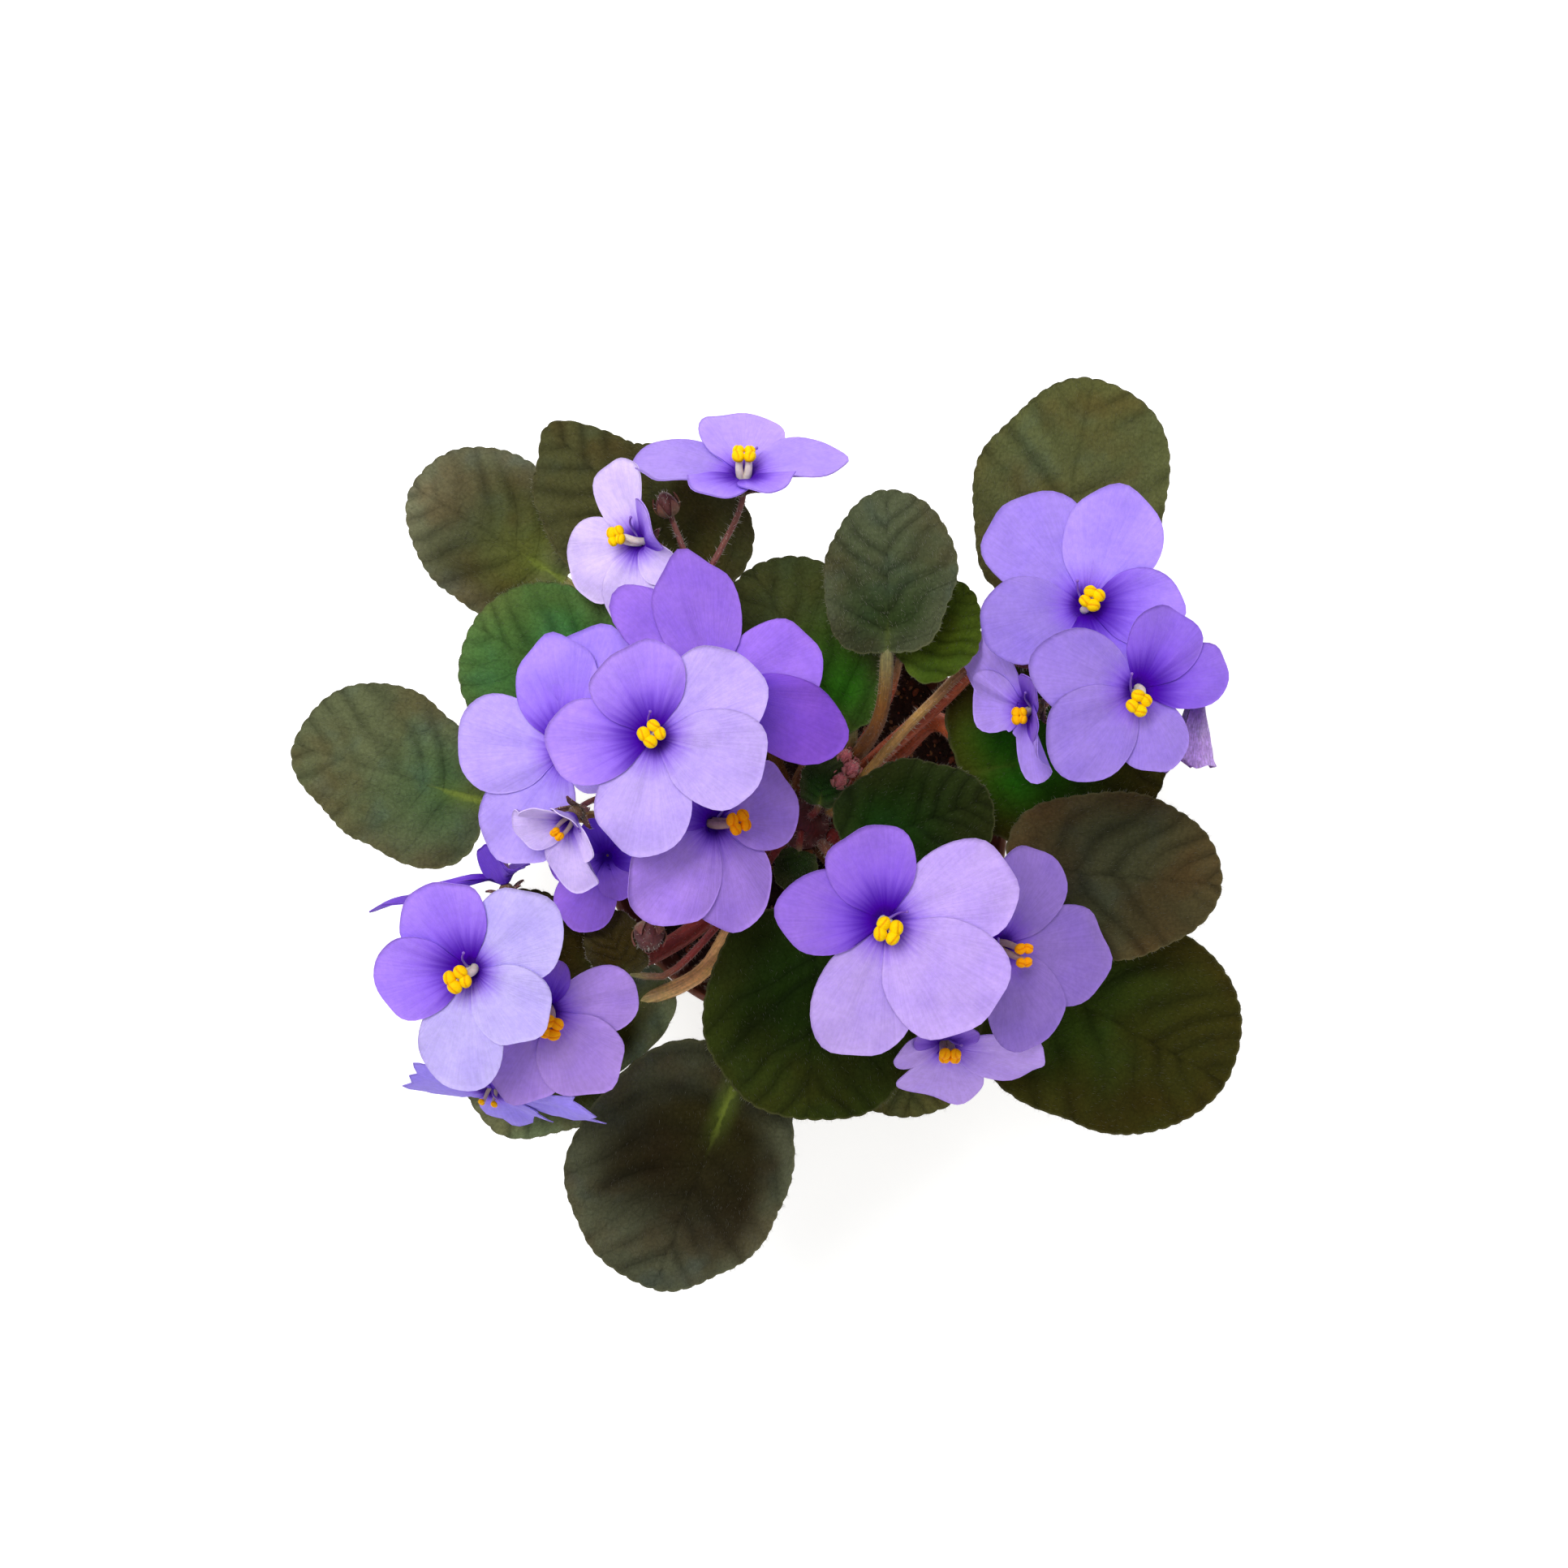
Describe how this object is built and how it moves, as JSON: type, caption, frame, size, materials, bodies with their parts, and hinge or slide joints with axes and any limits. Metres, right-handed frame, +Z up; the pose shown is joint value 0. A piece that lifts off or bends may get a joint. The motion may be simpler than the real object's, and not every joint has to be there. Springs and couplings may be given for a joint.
{
  "type": "potted african violet",
  "caption": "African violet house plant with scalloped hairy leaves and violet-blue five-lobed flowers, growing in a round tapered nursery pot.",
  "frame": {"origin": "centre of the pot's flat base, on the surface that the pot stands on", "axes": "+Z up along the pot's axis; +X to the right and +Y to the back of the plant as seen from straight above"},
  "size_m": [0.2113, 0.2025, 0.1421],
  "materials": {
    "pot_plastic": "semi-matt moulded terracotta-brown plastic",
    "soil": "crumbly moist dark peat compost, rough and matt",
    "crown": "fleshy green-brown plant stem with fine hairs",
    "leaf": "soft quilted leaf covered in short pale hairs, low sheen",
    "flower_stalk": "fleshy maroon stalk with fine white hairs",
    "petal": "soft velvety petal, matt with a faint glitter",
    "anther": "smooth waxy yellow"
  },
  "bodies": {
    "root": {"pot": "pot_plastic", "potting_soil": "soil", "crown": "crown", "leaf_01": "leaf", "leaf_02": "leaf", "leaf_03": "leaf", "leaf_04": "leaf", "leaf_05": "leaf", "leaf_06": "leaf", "leaf_07": "leaf", "leaf_08": "leaf", "leaf_09": "leaf", "leaf_10": "leaf", "leaf_11": "leaf", "leaf_12": "leaf", "leaf_13": "leaf", "leaf_14": "leaf", "leaf_15": "leaf", "leaf_16": "leaf", "leaf_17": "leaf", "flower_stalk_a": "flower_stalk", "flower_stalk_b": "flower_stalk", "flower_stalk_c": "flower_stalk", "flower_stalk_d": "flower_stalk", "flower_stalk_e": "flower_stalk", "corolla_01": "petal", "anthers_01": "anther", "corolla_02": "petal", "anthers_02": "anther", "corolla_03": "petal", "anthers_03": "anther", "corolla_04": "petal", "anthers_04": "anther", "corolla_05": "petal", "anthers_05": "anther", "corolla_06": "petal", "anthers_06": "anther", "corolla_07": "petal", "corolla_08": "petal", "anthers_08": "anther", "corolla_09": "petal", "anthers_09": "anther", "corolla_10": "petal", "anthers_10": "anther", "corolla_11": "petal", "anthers_11": "anther", "corolla_12": "petal", "anthers_12": "anther", "corolla_13": "petal", "anthers_13": "anther", "corolla_14": "petal", "anthers_14": "anther", "corolla_15": "petal", "anthers_15": "anther", "corolla_16": "petal", "anthers_16": "anther", "corolla_17": "petal", "anthers_17": "anther", "corolla_18": "petal", "anthers_18": "anther"}
  },
  "joints": []
}
